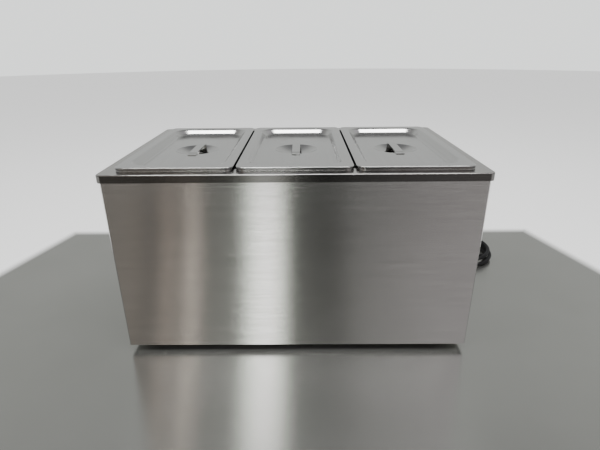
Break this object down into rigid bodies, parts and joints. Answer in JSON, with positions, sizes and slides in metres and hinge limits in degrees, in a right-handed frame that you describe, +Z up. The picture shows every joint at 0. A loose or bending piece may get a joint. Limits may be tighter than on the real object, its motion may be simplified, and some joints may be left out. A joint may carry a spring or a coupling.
{
  "type": "steam table unit",
  "caption": "Countertop electric steam table: stainless case with a heated water well, lidded third-size pans, a thermostat knob, a rocker switch and a power cord.",
  "frame": {"origin": "on the worktop, under the middle of the case (without the free cord)", "axes": "+X along the front to the right, +Y towards the back, +Z up; the plain long front faces -Y"},
  "size_m": [0.776, 0.45, 0.3148],
  "materials": {
    "case_steel": "brushed lengthwise",
    "well_steel": "drawn, dull",
    "plain_steel": "mill finish",
    "pan_steel": "satin, drawn",
    "lid_steel": "satin, drawn",
    "rubber_feet": "matte",
    "element_sheath": "dark oxide",
    "mineral_wool": "fibrous",
    "black_plastic": "fine texture",
    "dial_metal": "satin",
    "amber_lens": "clear amber",
    "red_rocker": "gloss",
    "white_plastic": "satin",
    "copper": "dull copper",
    "brass_blades": "bright",
    "black_lead": "satin",
    "white_lead": "satin",
    "green_lead": "satin",
    "cord_jacket": "satin",
    "plug_rubber": "satin"
  },
  "bodies": {
    "case": {"front_panel": "case_steel", "back_panel": "case_steel", "left_end_panel": "case_steel", "right_end_panel": "case_steel", "top_deck": "case_steel", "bottom_cover": "plain_steel", "foot_front_left": "rubber_feet", "foot_front_right": "rubber_feet", "foot_back_left": "rubber_feet", "foot_back_right": "rubber_feet", "bottom_cover_screws": "plain_steel", "foot_screws": "plain_steel", "foot_nuts": "plain_steel", "water_well": "well_steel", "heating_element": "element_sheath", "element_studs": "plain_steel", "element_nuts": "plain_steel", "element_plate": "plain_steel", "heat_shield": "plain_steel", "insulation_bottom": "mineral_wool", "insulation_front": "mineral_wool", "insulation_back": "mineral_wool", "insulation_left": "mineral_wool", "insulation_right": "mineral_wool", "thermostat_body": "black_plastic", "dial_plate": "dial_metal", "thermostat_screws": "plain_steel", "pilot_body": "white_plastic", "pilot_lens": "amber_lens", "switch_housing": "black_plastic", "sensing_bulb": "element_sheath", "bulb_clip": "plain_steel", "high_limit_cutout": "element_sheath", "capillary_tube": "copper", "terminal_block": "white_plastic", "terminal_screws": "plain_steel", "earth_stud": "plain_steel", "live_leads": "black_lead", "neutral_leads": "white_lead", "earth_lead": "green_lead", "strain_relief": "black_plastic", "strain_relief_nut": "black_plastic", "cord_inner_end": "cord_jacket", "cord_run": "cord_jacket", "cord_tail": "cord_jacket", "cord_coil": "cord_jacket", "plug_body": "plug_rubber", "plug_blades": "brass_blades"},
    "knob": {"control_knob": "black_plastic", "thermostat_shaft": "element_sheath"},
    "rocker": {"switch_rocker": "red_rocker"},
    "pan_left": {"pan_left": "pan_steel"},
    "lid_left": {"lid_left": "lid_steel", "lid_handle_left": "lid_steel"},
    "pan_centre": {"pan_centre": "pan_steel"},
    "lid_centre": {"lid_centre": "lid_steel", "lid_handle_centre": "lid_steel"},
    "pan_right": {"pan_right": "pan_steel"},
    "lid_right": {"lid_right": "lid_steel", "lid_handle_right": "lid_steel"}
  },
  "joints": [
    {"name": "pan_left_lift", "type": "slide", "parent": "case", "child": "pan_left", "axis": [0, 0, 1], "range_m": [0, 0.17]},
    {"name": "lid_left_lift", "type": "slide", "parent": "pan_left", "child": "lid_left", "axis": [0, 0, 1], "range_m": [0, 0.1]},
    {"name": "pan_centre_lift", "type": "slide", "parent": "case", "child": "pan_centre", "axis": [0, 0, 1], "range_m": [0, 0.17]},
    {"name": "lid_centre_lift", "type": "slide", "parent": "pan_centre", "child": "lid_centre", "axis": [0, 0, 1], "range_m": [0, 0.1]},
    {"name": "pan_right_lift", "type": "slide", "parent": "case", "child": "pan_right", "axis": [0, 0, 1], "range_m": [0, 0.17]},
    {"name": "lid_right_lift", "type": "slide", "parent": "pan_right", "child": "lid_right", "axis": [0, 0, 1], "range_m": [0, 0.1]},
    {"name": "knob_turn", "type": "hinge", "parent": "case", "child": "knob", "pos_m": [-0.285, -0.008, 0.076], "axis": [1, 0, 0], "range_deg": [0, 270]},
    {"name": "rocker_tip", "type": "hinge", "parent": "case", "child": "rocker", "pos_m": [-0.282, 0.082, 0.076], "axis": [0, -1, 0], "range_deg": [0, 16]}
  ]
}
